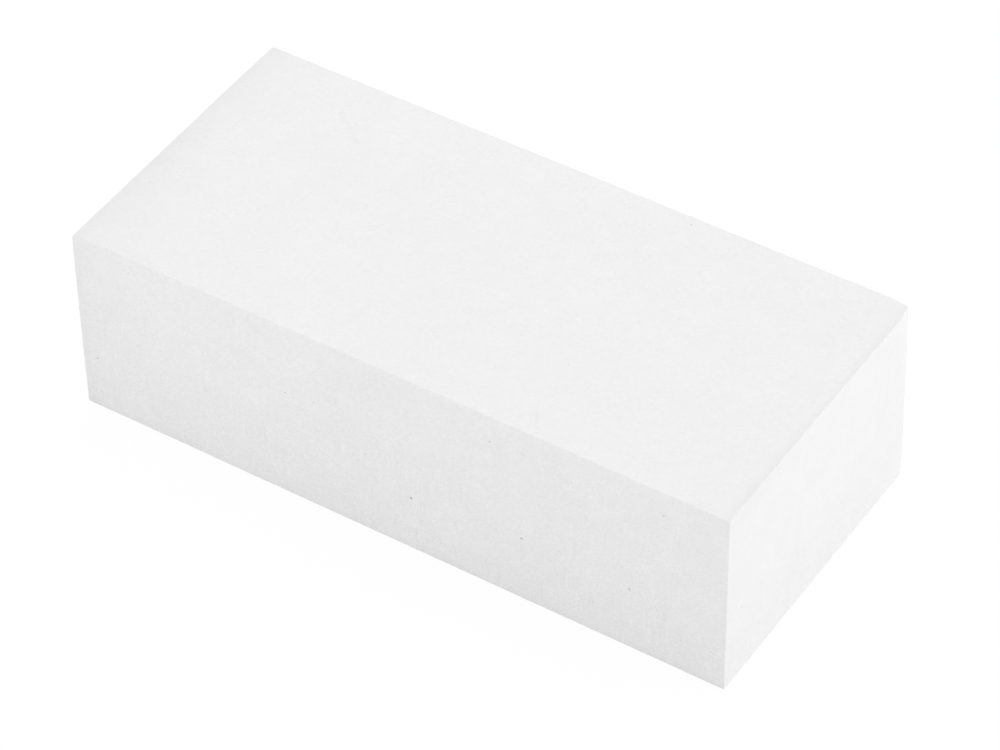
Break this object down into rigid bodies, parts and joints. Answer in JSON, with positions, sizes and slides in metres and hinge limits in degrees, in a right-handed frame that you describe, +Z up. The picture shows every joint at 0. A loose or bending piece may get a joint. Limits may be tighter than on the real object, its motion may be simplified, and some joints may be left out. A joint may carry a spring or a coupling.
{
  "type": "foam block",
  "caption": "Plain rectangular block of fine-celled white foam, cut to the format of a brick, with crisp sawn edges.",
  "frame": {"origin": "middle of the underside", "axes": "+X along the length, +Y along the width away from the front long face, +Z up through the height"},
  "size_m": [0.23, 0.106, 0.069],
  "materials": {
    "foam": "matt, dry, sawn face of fine closed-cell foam, with scattered open cells"
  },
  "bodies": {
    "root": {"foam_block": "foam"}
  },
  "joints": []
}
